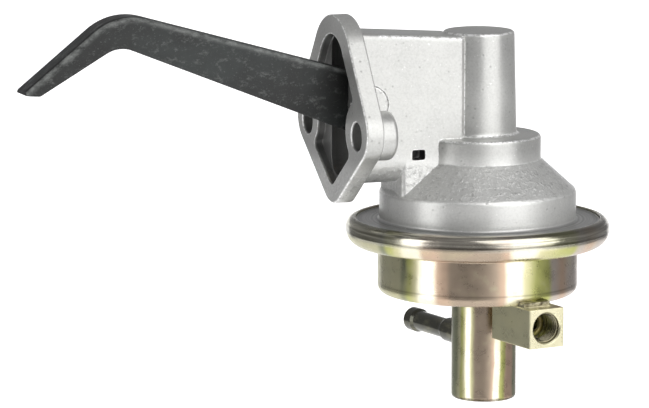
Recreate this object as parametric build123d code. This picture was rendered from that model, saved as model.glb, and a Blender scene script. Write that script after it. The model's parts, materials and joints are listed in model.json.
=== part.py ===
from build123d import *
from math import acos, atan2, cos, hypot, pi, radians, sin, sqrt, tan
import os

# Mechanical fuel pump, millimetres.
# Origin: midway between the two bolt holes, on the mounting face.
# -X points out of the mounting face, +Z runs up the pump axis, -Y is the outlet side.

# Running clearances and fits
press_gap = 0.01
running_gap = 0.05
side_gap = 0.15
seat_gap = 0.3

# Edges and corners that have no size of their own
edge_break = 0.4
sheet_edge_round = 0.3
core_round = 1.5
near_zero = 0.01
past = 1.0

# Mounting flange
flange_thickness = 7.5
bolt_spacing = 54.0
bolt_hole_radius = 5.6
bolt_hole_chamfer = 0.5
pad_radius = 11.7
pad_rise = 1.5
crown_z = 24.0
crown_radius = 21.4
foot_z = -18.2
foot_radius = 12.0
flange_edge_round = 0.8

# Mouth in the mounting face
mouth_wall_crown = 7.6
mouth_wall_foot = 7.6
mouth_depth = 3.6
mouth_corner_round = 2.5

# Bolt bosses behind the flange
boss_radius = 9.8
boss_depth = 7.1
boss_round = 2.2
web_half_height = 5.5
web_centre_z = -3.7

# Rocker box between the flange and the tower
box_top_z = 39.3
box_slope = 4.0
box_floor_z = -22.4
box_corner_radius = 10.0
box_edge_round = 2.2
box_end_inset = 10.5
inner_top_round = 4.5
casting_wall = 3.0

# Neck under the rocker box
neck_x = 25.5
neck_round = 2.0

# Pump axis, tower, step, cone and clamping flange of the casting
axis_x = 63.3
tower_top_z = 36.7
tower_side_step = 3.2
tower_draft = 1.0
tower_roof = 3.5
tower_edge_round = 1.6
tower_root_round = 2.0
step_top_z = -5.2
step_radius = 25.4
step_height = 9.8
step_edge_round = 1.5
cone_height = 13.0
band_radius = 39.8
band_height = 11.9
band_round = 2.5
band_root_round = 1.2
ledge_width = 9.4
lip_rebate = 0.6
rim_lap = 2.4
ring_edge_round = 2.2
ring_thickness = 7.7

# Breather slot in the near wall of the neck
breather_x = 32.5
breather_z = -10.9
breather_width = 5.6
breather_height = 4.1
breather_depth = 6.3
breather_corner_round = 0.9
breather_drop_radius = 1.8

# Rod guide and oil seal
seal_radius = 8.2
seal_height = 6.0
seal_boss_height = 3.8
seal_waist_depth = 1.6
guide_length = 3.2

# Rocker arm, a folded channel in side view
sheet_arm = 2.4
arm_width = 14.0
arm_shoulder_round = 3.0
crest_x = -90.9
crest_z = 51.2
crest_round = 24.0
tip_x = -128.5
tip_drop = 29.8
tip_depth = 2.1
toe_rise = 0.4
toe_round = 2.0
arm_slope = 15.9
throat_z = 37.7
throat_round = 12.0
heel_slope = 29.7
belly_slope = 21.9
belly_round = 6.0
knee_x = 26.0
knee_round = 14.0
fork_root_x = 47.0
fork_top_z = 6.0
fork_depth = 6.5
fork_round = 8.0
fork_gap = 2.0
fork_reach = 7.3

# Pivot
pivot_x = 11.5
pivot_z = 10.0
pin_radius = 4.0
bushing_wall = 1.6
cap_radius = 7.7
cap_thickness = 1.4
cap_proud = 0.2
cap_groove_width = 0.35
cap_groove_depth = 0.4
thrust_washer_radius = 7.4
thrust_washer_thickness = 2.0

# Pull rod
rod_radius = 3.2
head_radius = 6.4
head_sphere_radius = 8.0
head_rim = 2.4
collar_radius = 6.0
collar_height = 1.5
stud_radius = 2.5
stud_end = 0.5

# Return spring above the fork
spring_seat_bore = 8.0
spring_seat_gap = 0.9
spring_seat_thickness = 1.4
return_coil_gap = 1.1
return_wire_radius = 1.0
return_turns = 5

# Diaphragm stack
diaphragm_thickness = 1.2
diaphragm_drop = 4.5
convolution_depth = 3.6
convolution_width = 3.8
convolution_round = 1.3
plate_edge_gap = 2.2
lower_plate_step = 2.5
plate_sheet = 1.2
plate_rim = 2.6
plate_bend = 1.6
washer_radius = 7.0
nut_flats = 9.5
nut_sides = 6
nut_corner_angle = 30.0
nut_height = 4.0

# Diaphragm spring and its retainer
diaphragm_coil_radius = 13.5
diaphragm_wire_radius = 1.3
diaphragm_turns = 5
retainer_bore = 4.2
retainer_radius = 15.2
retainer_sheet = 1.2
retainer_lip = 2.3

# Lower bowl, one steel pressing rolled over the casting
sheet_bowl = 1.4
bowl_overhang = 0.6
bowl_depth = 19.6
bowl_corner_round = 3.3
bowl_shoulder_round = 1.6
rim_gap = 0.25
rim_lower_round = 6.0
rim_upper_round = 3.5
rim_lip_round = 0.3
rim_top_proud = 0.8
outlet_hole_radius = 3.0

# Valve carrier in the bowl
carrier_drop = 12.7
carrier_sheet = 1.6
carrier_side_gap = 2.1
carrier_skirt_wall = 1.5
carrier_bend = 1.9
carrier_gasket_thickness = 0.8
inlet_tube_wall = 1.5
outlet_valve_gap = 5.4

# Valves, inlet and outlet alike
valve_radius = 8.0
valve_seat_thickness = 1.6
valve_seat_bore = 4.5
valve_disc_radius = 6.0
valve_disc_thickness = 1.0
valve_height = 6.0
valve_cage_wall = 1.0
valve_windows = 4
valve_window_width = 4.0
valve_roof_hole_radius = 1.5
valve_roof_hole_reach = 4.8
valve_coil_radius = 3.0
valve_wire_radius = 0.35
valve_turns = 3

# Inlet can under the bowl
can_offset = 3.0
can_radius = 13.1
can_sheet = 1.2
can_height = 43.8
can_corner_round = 1.6

# Inlet hose nipple
nipple_drop = 20.4
nipple_angle = 9.0
nipple_reach = 56.3
nipple_radius = 4.1
nipple_bore = 2.6
nipple_base_radius = 4.95
nipple_base_reach = 26.5
nipple_bead_radius = 4.9
nipple_bead_length = 6.0
nipple_base_taper = 2.2
nipple_bead_taper = 1.5
nipple_chamfer = 1.2

# Outlet block with its inverted-flare port
port_wall = 1.95
block_angle = 8.5
block_root = 19.4
block_proud = 7.4
block_edge = 0.3
port_radius = 6.0
port_depth = 13.0
port_chamfer = 0.6
relief_radius = 5.2
flare_radius = 4.6
flare_height = 2.4
passage_radius = 2.6
outlet_hole_inset = 8.4
saddle_lap = 2.4
saddle_height = 2.0
saddle_width = 12.1

# Heights and places that follow from the sizes above
bolt_y = bolt_spacing / 2
arm_half_width = arm_width / 2
inner_half_width = arm_half_width + thrust_washer_thickness + 2 * side_gap
box_half_width = inner_half_width + casting_wall
tower_foot_radius = box_half_width + tower_side_step
tower_top_radius = tower_foot_radius - tower_draft
step_foot_z = step_top_z - step_height
cone_foot_z = step_foot_z - cone_height
ledge_z = cone_foot_z - band_height
clamp_z = ledge_z - ring_thickness
lip_radius = band_radius + ledge_width
ring_edge_radius = lip_radius + rim_lap
rim_radius = ring_edge_radius + rim_gap + sheet_bowl
bowl_radius = band_radius + bowl_overhang
diaphragm_radius = rim_radius - rim_lower_round
chamber_radius = band_radius - casting_wall
upper_plate_radius = chamber_radius - 2 * convolution_width - plate_edge_gap
lower_plate_radius = upper_plate_radius - lower_plate_step
carrier_skirt_radius = bowl_radius - sheet_bowl - carrier_side_gap
carrier_skirt_inner = carrier_skirt_radius - carrier_skirt_wall
outlet_valve_offset = carrier_skirt_inner - outlet_valve_gap - valve_radius
outlet_hole_reach = carrier_skirt_inner - outlet_hole_inset
saddle_reach = bowl_radius + saddle_lap
block_reach = bowl_radius + block_proud
tower_bore_radius = tower_top_radius - casting_wall
return_coil_radius = tower_bore_radius - return_coil_gap - return_wire_radius
spring_seat_radius = tower_bore_radius - spring_seat_gap
block_side = 2 * (port_radius + port_wall)
seat_z = clamp_z - diaphragm_thickness
floor_z = seat_z - bowl_depth
bowl_foot_z = floor_z - sheet_bowl
ceiling_z = step_top_z - casting_wall
seal_foot_z = ceiling_z - seal_boss_height
seal_top_z = seal_foot_z + seal_height
gallery_floor_z = seal_top_z + guide_length
tower_bore_top_z = tower_top_z - tower_roof
can_x = axis_x + can_offset
can_foot_z = bowl_foot_z - can_height
nipple_z = bowl_foot_z - nipple_drop
block_z = bowl_foot_z - block_side / 2
diaphragm_top_z = clamp_z - diaphragm_drop
plate_top_z = diaphragm_top_z + plate_sheet
diaphragm_foot_z = diaphragm_top_z - diaphragm_thickness
lower_plate_foot_z = diaphragm_foot_z - plate_sheet
washer_foot_z = lower_plate_foot_z - plate_sheet
nut_foot_z = washer_foot_z - nut_height
stud_foot_z = nut_foot_z - stud_end
carrier_top_z = seat_z - carrier_drop
carrier_foot_z = carrier_top_z - carrier_sheet
cap_seat_y = box_half_width + cap_proud - cap_thickness
channel_half_width = arm_half_width - sheet_arm
bushing_radius = pin_radius + bushing_wall
spring_seat_top_z = fork_top_z + spring_seat_thickness
retainer_foot_z = seal_foot_z - retainer_sheet
pump_axis = Axis((axis_x, 0, 0), (0, 0, 1))
can_axis = Axis((can_x, 0, 0), (0, 0, 1))


def box_top_at(x):
    """Height of the rocker box's sloping top."""
    return box_top_z - x * tan(radians(box_slope))


def side_face(corners):
    """A face in the XZ plane from corners of (x, z, round)."""
    points = [(x, 0, z) for x, z, _ in corners]
    rounds = [r for _, _, r in corners]
    return make_face(FilletPolyline(*points, radius=rounds, close=True))


def end_face(corners, x):
    """A face in the YZ plane at x from corners of (y, z, round)."""
    points = [(y, z) for y, z, _ in corners]
    rounds = [r for _, _, r in corners]
    return Plane.YZ.offset(x) * make_face(FilletPolyline(*points, radius=rounds, close=True))


def turned(corners, axis=pump_axis):
    """A solid of revolution from corners of (radius, z, round)."""
    shifted = [(axis.position.X + r, z, rounding) for r, z, rounding in corners]
    return revolve(side_face(shifted), axis=axis)


def slab(low, high):
    """A plain box between two opposite corners."""
    size = [b - a for a, b in zip(low, high)]
    centre = [(a + b) / 2 for a, b in zip(low, high)]
    return Pos(*centre) * Box(*size)


def rod_between(x, y, z_low, z_high, radius):
    """An upright cylinder."""
    return Pos(x, y, (z_low + z_high) / 2) * Cylinder(radius, z_high - z_low)


def pivot_rod(y_one, y_other, radius):
    """A cylinder on the pivot's axis between two places along Y."""
    middle = (y_one + y_other) / 2
    return Pos(pivot_x, middle, pivot_z) * Rot(90, 0, 0) * Cylinder(radius, abs(y_other - y_one))


def lengthwise_rod(x_low, x_high, y, z, radius):
    """A cylinder along X."""
    return Pos((x_low + x_high) / 2, y, z) * Rot(0, 90, 0) * Cylinder(radius, x_high - x_low)


def parallel(points, gap):
    """The points of an open outline moved sideways by gap, to its right."""
    lines = []
    for (x0, z0), (x1, z1) in zip(points, points[1:]):
        length = hypot(x1 - x0, z1 - z0)
        shift_x = (z1 - z0) / length * gap
        shift_z = -(x1 - x0) / length * gap
        lines.append(((x0 + shift_x, z0 + shift_z), (x1 + shift_x, z1 + shift_z)))
    moved = [lines[0][0]]
    for ((ax, az), (bx, bz)), ((cx, cz), (dx, dz)) in zip(lines, lines[1:]):
        ux, uz = bx - ax, bz - az
        vx, vz = dx - cx, dz - cz
        t = ((cx - ax) * vz - (cz - az) * vx) / (ux * vz - uz * vx)
        moved.append((ax + t * ux, az + t * uz))
    moved.append(lines[-1][1])
    return moved


def belt_face(circles, x):
    """The face that a belt round the circles (y, z, radius) encloses, in the plane at x."""
    edges = []
    ends = []
    for (y0, z0, r0), (y1, z1, r1) in zip(circles, circles[1:] + circles[:1]):
        run = atan2(z1 - z0, y1 - y0)
        turn = run - acos((r0 - r1) / hypot(y1 - y0, z1 - z0))
        leave = (y0 + r0 * cos(turn), z0 + r0 * sin(turn))
        arrive = (y1 + r1 * cos(turn), z1 + r1 * sin(turn))
        edges.append(Line(leave, arrive))
        ends.append((turn, leave, arrive))
    for i, (y, z, r) in enumerate(circles):
        turn_in, _, arrive = ends[i - 1]
        turn_out, leave, _ = ends[i]
        middle = turn_in + ((turn_out - turn_in) % (2 * pi)) / 2
        edges.append(ThreePointArc(arrive, (y + r * cos(middle), z + r * sin(middle)), leave))
    return Plane.YZ.offset(x) * make_face(edges)


def coil(mean_radius, wire_radius, turns, foot, top, x=axis_x):
    """A compression coil that stands on foot and reaches up to top."""
    rise = top - foot - 2 * wire_radius
    helix = Pos(x, 0, foot + wire_radius) * Helix(pitch=rise / turns, height=rise, radius=mean_radius)
    section = Plane(origin=helix @ 0, z_dir=helix % 0) * Circle(wire_radius)
    return sweep(section, path=helix, is_frenet=True)


# Rocker housing, one aluminium casting

def flange_plate():
    """The two-bolt mounting flange, with its edges broken."""
    outline = belt_face([
        (0, foot_z, foot_radius),
        (bolt_y, pad_rise, pad_radius),
        (0, crown_z, crown_radius),
        (-bolt_y, pad_rise, pad_radius),
    ], 0)
    plate = extrude(outline, amount=flange_thickness)
    rims = plate.edges().group_by(Axis.X)
    return fillet(rims[0] + rims[-1], flange_edge_round)


def mouth():
    """The hollow that opens in the mounting face, narrowed beside each bolt hole."""
    outline = belt_face([
        (0, foot_z, foot_radius - mouth_wall_foot),
        (bolt_y, pad_rise, pad_radius - mouth_wall_crown),
        (0, crown_z, crown_radius - mouth_wall_crown),
        (-bolt_y, pad_rise, pad_radius - mouth_wall_crown),
    ], 0)
    hollow = extrude(outline, amount=mouth_depth)
    for side in (-1, 1):
        hollow -= lengthwise_rod(0, mouth_depth, side * bolt_y, pad_rise, pad_radius)
    hollow = hollow.solids().sort_by(SortBy.VOLUME)[-1]
    horns = []
    for edge in hollow.edges().filter_by(Axis.X):
        middle = edge.center()
        reach = hypot(abs(middle.Y) - bolt_y, middle.Z - pad_rise)
        if abs(reach - pad_radius) < near_zero:
            horns.append(edge)
    return fillet(horns, mouth_corner_round)


def beam(half_width, top_drop, floor, corner, x_low, x_high):
    """A beam along X with a rounded floor, under the sloping top of the rocker box."""
    top = box_top_at(x_low)
    section = end_face([
        (-half_width, floor, corner),
        (half_width, floor, corner),
        (half_width, top, 0),
        (-half_width, top, 0),
    ], x_low)
    bar = extrude(section, amount=x_high - x_low)
    above = side_face([
        (x_low - past, box_top_at(x_low - past) - top_drop, 0),
        (x_high + past, box_top_at(x_high + past) - top_drop, 0),
        (x_high + past, top + past, 0),
        (x_low - past, top + past, 0),
    ])
    return bar - extrude(above, amount=2 * half_width, both=True)


def sloping_edges(bar):
    """The two upper edges of a beam under the sloping top."""
    sides = bar.edges().group_by(Axis.Y)
    return [side.sort_by(Axis.Z)[-1] for side in (sides[0], sides[-1])]


def outer_box():
    """The outside of the rocker box, rounded along its top and round its end at the tower."""
    box = beam(box_half_width, 0, box_floor_z, box_corner_radius,
               flange_thickness / 2, axis_x - box_end_inset)
    end = box.faces().sort_by(Axis.X)[-1]
    return fillet(sloping_edges(box) + end.edges(), box_edge_round)


def inner_beam(floor, corner, x_high):
    """A hollow for the arm, one wall under the sloping top, its upper edges rounded."""
    hollow = beam(inner_half_width, casting_wall, floor, corner, -past, x_high)
    return fillet(sloping_edges(hollow), inner_top_round)


def neck():
    """The column that carries the rocker box on the cone."""
    column = slab((neck_x, -box_half_width, ledge_z), (axis_x, box_half_width, step_top_z))
    corners = column.edges().filter_by(Axis.Z).group_by(Axis.X)[0]
    return fillet(corners, neck_round)


def turned_outside():
    """Tower, step, cone, band and clamping ring in one turned form."""
    return turned([
        (0, tower_top_z, 0),
        (tower_top_radius, tower_top_z, tower_edge_round),
        (tower_foot_radius, step_top_z, tower_root_round),
        (step_radius, step_top_z, step_edge_round),
        (step_radius, step_foot_z, 0),
        (band_radius, cone_foot_z, band_round),
        (band_radius, ledge_z, band_root_round),
        (lip_radius, ledge_z, 0),
        (lip_radius, ledge_z - lip_rebate, 0),
        (ring_edge_radius, ledge_z - lip_rebate, ring_edge_round),
        (ring_edge_radius, clamp_z, rim_lower_round - sheet_bowl),
        (0, clamp_z, 0),
    ])


def bolt_boss(side):
    """One bolt boss behind the flange, tied to the rocker box by a web."""
    back = flange_thickness + boss_depth
    boss = lengthwise_rod(flange_thickness / 2, back, side * bolt_y, 0, boss_radius)
    boss = fillet(boss.edges().group_by(Axis.X)[-1], boss_round)
    inner = side * (box_half_width - 1)
    low_y, high_y = sorted((inner, side * bolt_y))
    web = slab(
        (flange_thickness / 2, low_y, web_centre_z - web_half_height),
        (back - boss_round, high_y, web_centre_z + web_half_height),
    )
    return boss + web


def diaphragm_chamber():
    """The air space over the diaphragm, one wall inside the step, cone and band."""
    slope = (step_foot_z - cone_foot_z) / (band_radius - step_radius)
    drop = casting_wall * (sqrt(1 + slope * slope) - slope)
    return turned([
        (0, ceiling_z, 0),
        (step_radius - casting_wall, ceiling_z, core_round),
        (step_radius - casting_wall, step_foot_z - drop, 0),
        (chamber_radius, cone_foot_z - drop, core_round),
        (chamber_radius, clamp_z - past, 0),
        (0, clamp_z - past, 0),
    ])


def rocker_housing():
    """The whole casting, hollowed for the arm, the springs, the rod and the seal."""
    body = turned_outside() + neck() + outer_box() + flange_plate() + bolt_boss(-1) + bolt_boss(1)

    body -= mouth()
    body -= inner_beam(box_floor_z + casting_wall, box_corner_radius - casting_wall, neck_x - casting_wall)
    body -= inner_beam(gallery_floor_z, 0, axis_x)
    body -= rod_between(axis_x, 0, gallery_floor_z, tower_bore_top_z, tower_bore_radius)
    body -= diaphragm_chamber()

    body += rod_between(axis_x, 0, seal_foot_z, ceiling_z, seal_radius + casting_wall)
    body -= rod_between(axis_x, 0, seal_foot_z - past, seal_top_z, seal_radius)
    body -= rod_between(axis_x, 0, seal_top_z - past, gallery_floor_z + past, rod_radius + seat_gap)

    for side in (-1, 1):
        boss_end = flange_thickness + boss_depth
        body -= lengthwise_rod(-past, boss_end + past, side * bolt_y, 0, bolt_hole_radius)
        outside = side * (box_half_width + past)
        body -= pivot_rod(side * cap_seat_y, outside, cap_radius + press_gap)
        body -= pivot_rod(side * (box_half_width - cap_groove_depth), outside, cap_radius + cap_groove_width)
    body -= pivot_rod(-box_half_width, box_half_width, pin_radius + press_gap)

    slot = slab(
        (breather_x - breather_width / 2, -box_half_width - past, breather_z - breather_height / 2),
        (breather_x + breather_width / 2, breather_depth - box_half_width, breather_z + breather_height / 2),
    )
    body -= fillet(slot.edges().filter_by(Axis.Y), breather_corner_round)
    body -= rod_between(breather_x, breather_depth - box_half_width - breather_drop_radius,
                        cone_foot_z, breather_z, breather_drop_radius)

    mouths = [e for e in body.edges().filter_by(GeomType.CIRCLE)
              if abs(e.center().X) < near_zero and abs(e.radius - bolt_hole_radius) < near_zero]
    return chamfer(mouths, bolt_hole_chamfer)


# Rocker arm and pivot

def arm_top_line():
    """Upper outline of the arm from tip to fork, as (x, z)."""
    fall = tan(radians(arm_slope))
    return [
        (tip_x, crest_z - tip_drop),
        (crest_x, crest_z),
        (knee_x, crest_z - (knee_x - crest_x) * fall),
        (fork_root_x, fork_top_z),
        (axis_x + fork_reach, fork_top_z),
    ]


def arm_bottom_line():
    """Lower outline of the arm from fork to tip, as (x, z)."""
    fork_foot = fork_top_z - fork_depth
    belly = tan(radians(belly_slope))
    heel = tan(radians(heel_slope))
    toe = crest_z - tip_drop - tip_depth
    return [
        (axis_x + fork_reach, fork_foot),
        (crest_x + (throat_z - fork_foot) / belly, fork_foot),
        (crest_x, throat_z),
        (crest_x - (throat_z - toe) / heel, toe),
        (tip_x, toe + toe_rise),
    ]


def rocker_arm():
    """The arm: one steel sheet folded to a channel that is open below, forked at the rod."""
    top = arm_top_line()
    bottom = arm_bottom_line()
    end_x = axis_x + fork_reach
    below = fork_top_z - 2 * fork_depth
    top_rounds = [0, crest_round, knee_round, fork_round, 0]
    bends_under = [0, crest_round - sheet_arm, knee_round - sheet_arm, fork_round + sheet_arm, 0]

    blank = [(x, z, r) for (x, z), r in zip(top, top_rounds)]
    blank += [(end_x, below, 0), (tip_x, below, 0)]
    arm = extrude(side_face(blank), amount=arm_half_width, both=True)
    folds = []
    for edge in arm.edges():
        middle = edge.center()
        on_side = abs(abs(middle.Y) - arm_half_width) < near_zero
        if on_side and tip_x < middle.X < end_x and middle.Z > below + past:
            folds.append(edge)
    arm = fillet(folds, arm_shoulder_round)

    under_rounds = [0, belly_round, throat_round, toe_round, 0]
    under = [(x, z, r) for (x, z), r in zip(bottom, under_rounds)]
    under += [(tip_x, below - past, 0), (end_x, below - past, 0)]
    arm -= extrude(side_face(under), amount=arm_width, both=True)

    hollow = [(x, z, r) for (x, z), r in zip(parallel(top, sheet_arm), bends_under)]
    hollow += [(hollow[-1][0], below - past, 0), (hollow[0][0], below - past, 0)]
    arm -= extrude(side_face(hollow), amount=channel_half_width, both=True)
    arm -= slab((fork_root_x - fork_gap, -channel_half_width, below),
                (end_x + past, channel_half_width, crest_z))
    return arm - pivot_rod(-arm_width, arm_width, bushing_radius)


def pivot_bushing():
    """The bushing pressed through both walls of the arm."""
    bushing = pivot_rod(-arm_half_width, arm_half_width, bushing_radius - press_gap)
    return bushing - pivot_rod(-arm_width, arm_width, pin_radius + running_gap)


def pivot_pin():
    """The pin across the rocker box, between its two caps."""
    pin = pivot_rod(-cap_seat_y, cap_seat_y, pin_radius)
    return chamfer(pin.edges().filter_by(GeomType.CIRCLE), edge_break)


def pivot_cap(side):
    """One cap that closes the pin's hole in the wall of the rocker box."""
    cap = pivot_rod(side * cap_seat_y, side * (box_half_width + cap_proud), cap_radius)
    rims = cap.edges().filter_by(GeomType.CIRCLE).sort_by(Axis.Y)
    return fillet(rims[0] if side < 0 else rims[-1], cap_proud)


def thrust_washer(side):
    """One washer that keeps the arm in the middle of the rocker box."""
    near_arm = side * (arm_half_width + side_gap)
    near_wall = side * (inner_half_width - side_gap)
    washer = pivot_rod(near_arm, near_wall, thrust_washer_radius)
    return washer - pivot_rod(-box_half_width, box_half_width, pin_radius + running_gap)


# Pull rod, return spring and oil seal

def pull_rod():
    """The rod: button head over the fork, shank, collar on the upper plate and stud."""
    contact = sqrt(head_sphere_radius ** 2 - channel_half_width ** 2)
    centre_z = fork_top_z + seat_gap + contact
    rim_z = centre_z - sqrt(head_sphere_radius ** 2 - head_radius ** 2)
    neck_z = centre_z - sqrt(head_sphere_radius ** 2 - rod_radius ** 2)
    top_z = rim_z + head_rim
    under = ThreePointArc(
        (axis_x + rod_radius, 0, neck_z),
        (axis_x + (rod_radius + head_radius) / 2, 0,
         centre_z - sqrt(head_sphere_radius ** 2 - ((rod_radius + head_radius) / 2) ** 2)),
        (axis_x + head_radius, 0, rim_z),
    )
    outline = [
        Polyline(
            (axis_x + head_radius, 0, rim_z),
            (axis_x + head_radius, 0, top_z - edge_break),
            (axis_x + head_radius - edge_break, 0, top_z),
            (axis_x, 0, top_z),
            (axis_x, 0, stud_foot_z),
            (axis_x + stud_radius - edge_break, 0, stud_foot_z),
            (axis_x + stud_radius, 0, stud_foot_z + edge_break),
            (axis_x + stud_radius, 0, plate_top_z),
            (axis_x + collar_radius, 0, plate_top_z),
            (axis_x + collar_radius, 0, plate_top_z + collar_height),
            (axis_x + rod_radius, 0, plate_top_z + collar_height),
            (axis_x + rod_radius, 0, neck_z),
        ),
        under,
    ]
    return revolve(make_face([e for piece in outline for e in piece.edges()]), axis=pump_axis)


def return_spring_seat():
    """The ring on the fork that carries the return spring."""
    foot = spring_seat_top_z - spring_seat_thickness
    return turned([
        (spring_seat_bore, foot, 0),
        (spring_seat_radius, foot, edge_break),
        (spring_seat_radius, spring_seat_top_z, edge_break),
        (spring_seat_bore, spring_seat_top_z, 0),
    ])


def rod_seal():
    """The oil seal round the rod, with a lip at each end."""
    outer = seal_radius - press_gap
    foot = seal_foot_z
    top = seal_top_z
    waist = (foot + top) / 2
    lip = rod_radius + 2 * running_gap
    return turned([
        (lip, foot, edge_break),
        (outer, foot, 0),
        (outer, top, 0),
        (lip, top, edge_break),
        (lip + seal_waist_depth, waist, seal_waist_depth / 2),
    ])


def seal_retainer():
    """The pressed cup under the seal that centres the diaphragm spring."""
    lip_outer = diaphragm_coil_radius - diaphragm_wire_radius - seat_gap
    lip_inner = lip_outer - retainer_sheet
    lip_foot = retainer_foot_z - retainer_lip
    return turned([
        (retainer_bore, seal_foot_z, 0),
        (retainer_radius, seal_foot_z, edge_break),
        (retainer_radius, retainer_foot_z, 0),
        (lip_outer, retainer_foot_z, 0),
        (lip_outer, lip_foot, sheet_edge_round),
        (lip_inner, lip_foot, sheet_edge_round),
        (lip_inner, retainer_foot_z, 0),
        (retainer_bore, retainer_foot_z, 0),
    ])


# Diaphragm stack

def diaphragm():
    """The clamped fabric-rubber diaphragm with one convolution outside its plates."""
    half = diaphragm_thickness / 2
    valley = chamber_radius - convolution_width
    middle = [
        (stud_radius + press_gap, diaphragm_top_z - half),
        (valley - convolution_width, diaphragm_top_z - half),
        (valley, diaphragm_top_z - half - convolution_depth),
        (chamber_radius, clamp_z - half),
        (diaphragm_radius, clamp_z - half),
    ]
    lower = parallel(middle, half)
    upper = parallel(middle, -half)
    rounds = [0, convolution_round, convolution_round, convolution_round, 0]
    corners = [(r, z, f) for (r, z), f in zip(lower, rounds)]
    corners += [(r, z, f) for (r, z), f in zip(upper[::-1], rounds)]
    return turned(corners)


def pressed_plate(radius, face, rim_end):
    """A diaphragm plate that lies on face, its rim turned away from the diaphragm."""
    away = 1 if rim_end > face else -1
    back = face + away * plate_sheet
    return turned([
        (stud_radius + press_gap, face, 0),
        (radius, face, plate_bend),
        (radius, rim_end, sheet_edge_round),
        (radius - plate_sheet, rim_end, sheet_edge_round),
        (radius - plate_sheet, back, plate_bend - plate_sheet),
        (stud_radius + press_gap, back, 0),
    ])


def plate_washer():
    """The washer between the lower plate and the nut."""
    return turned([
        (stud_radius + press_gap, lower_plate_foot_z, 0),
        (washer_radius, lower_plate_foot_z, sheet_edge_round),
        (washer_radius, washer_foot_z, sheet_edge_round),
        (stud_radius + press_gap, washer_foot_z, 0),
    ])


def rod_nut():
    """The hexagon nut on the rod's stud, its corners turned off to a shallow cone."""
    corner = nut_flats / 2 / cos(pi / nut_sides)
    fall = (corner - nut_flats / 2) * tan(radians(nut_corner_angle))
    hexagon = Pos(axis_x, 0, nut_foot_z) * RegularPolygon(corner, nut_sides)
    turned_blank = turned([
        (0, washer_foot_z, 0),
        (corner, washer_foot_z, 0),
        (corner, nut_foot_z + fall, 0),
        (nut_flats / 2, nut_foot_z, 0),
        (0, nut_foot_z, 0),
    ])
    bore = rod_between(axis_x, 0, nut_foot_z - past, washer_foot_z + past, stud_radius + press_gap)
    return (extrude(hexagon, amount=nut_height) & turned_blank) - bore


# Lower bowl and valve carrier

def lower_bowl():
    """The steel bowl, its rim rolled round the diaphragm and over the casting."""
    inner_rim = rim_radius - sheet_bowl
    inner_wall = bowl_radius - sheet_bowl
    rim_top = ledge_z + rim_top_proud
    bowl = turned([
        (0, bowl_foot_z, 0),
        (bowl_radius, bowl_foot_z, bowl_corner_round),
        (bowl_radius, seat_z - sheet_bowl, bowl_shoulder_round),
        (rim_radius, seat_z - sheet_bowl, rim_lower_round),
        (rim_radius, rim_top, rim_upper_round),
        (lip_radius + side_gap, rim_top, rim_lip_round),
        (lip_radius + side_gap, rim_top - sheet_bowl, 0),
        (inner_rim, rim_top - sheet_bowl, rim_upper_round - sheet_bowl),
        (inner_rim, seat_z, rim_lower_round - sheet_bowl),
        (inner_wall, seat_z, bowl_shoulder_round + sheet_bowl),
        (inner_wall, floor_z, bowl_corner_round - sheet_bowl),
        (0, floor_z, 0),
    ])
    bowl -= rod_between(can_x, 0, bowl_foot_z - past, floor_z + past, valve_radius + seat_gap)
    x, y = along_block(outlet_hole_reach)
    return bowl - rod_between(x, y, bowl_foot_z - past, floor_z + past, outlet_hole_radius)


def valve_carrier():
    """The pressed carrier: deck, skirt on the bowl's floor and tube round the inlet."""
    skirt_foot = floor_z + carrier_gasket_thickness
    carrier = turned([
        (0, carrier_top_z, 0),
        (carrier_skirt_radius, carrier_top_z, carrier_bend),
        (carrier_skirt_radius, skirt_foot, 0),
        (carrier_skirt_inner, skirt_foot, 0),
        (carrier_skirt_inner, carrier_foot_z, carrier_bend - carrier_skirt_wall),
        (0, carrier_foot_z, 0),
    ])
    tube_radius = valve_radius + inlet_tube_wall
    carrier += rod_between(can_x, 0, floor_z, carrier_top_z, tube_radius)
    carrier -= rod_between(can_x, 0, floor_z - past, carrier_foot_z, valve_radius + press_gap)
    below, above = carrier_foot_z - past, carrier_top_z + past
    carrier -= rod_between(can_x, 0, below, above, valve_disc_radius)
    return carrier - rod_between(axis_x - outlet_valve_offset, 0, below, above, valve_radius + press_gap)


def carrier_gasket():
    """The flat ring gasket under the carrier's skirt."""
    inner = carrier_skirt_radius - 2 * carrier_skirt_wall
    top = floor_z + carrier_gasket_thickness
    return turned([
        (inner, floor_z, 0),
        (carrier_skirt_radius, floor_z, 0),
        (carrier_skirt_radius, top, 0),
        (inner, top, 0),
    ])


# Valves, drawn opening upward from z = 0 and then put in place

def valve_ring(foot, top, outer, inner=0):
    """A disc or ring on the valve's own axis."""
    ring = rod_between(0, 0, foot, top, outer)
    return ring - rod_between(0, 0, foot - past, top + past, inner) if inner else ring


def valve_seat():
    """The seat ring under the disc."""
    return valve_ring(0, valve_seat_thickness, valve_radius, valve_seat_bore)


def valve_disc():
    """The flat disc that closes the seat."""
    return valve_ring(valve_seat_thickness, valve_seat_thickness + valve_disc_thickness, valve_disc_radius)


def valve_cage():
    """The cage over the disc, with windows in its wall and holes in its roof."""
    roof_z = valve_height - valve_cage_wall
    inner = valve_radius - valve_cage_wall
    cage = valve_ring(valve_seat_thickness, valve_height, valve_radius)
    cage -= rod_between(0, 0, valve_seat_thickness - past, roof_z, inner)
    window = slab(
        (inner - past, -valve_window_width / 2, valve_seat_thickness - past),
        (valve_radius + past, valve_window_width / 2, roof_z - valve_cage_wall),
    )
    hole = rod_between(valve_roof_hole_reach, 0, roof_z - past, valve_height + past, valve_roof_hole_radius)
    turn = 360 / valve_windows
    for index in range(valve_windows):
        cage -= Rot(0, 0, turn * index) * window
        cage -= Rot(0, 0, turn * (index + 0.5)) * hole
    return cage


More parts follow.
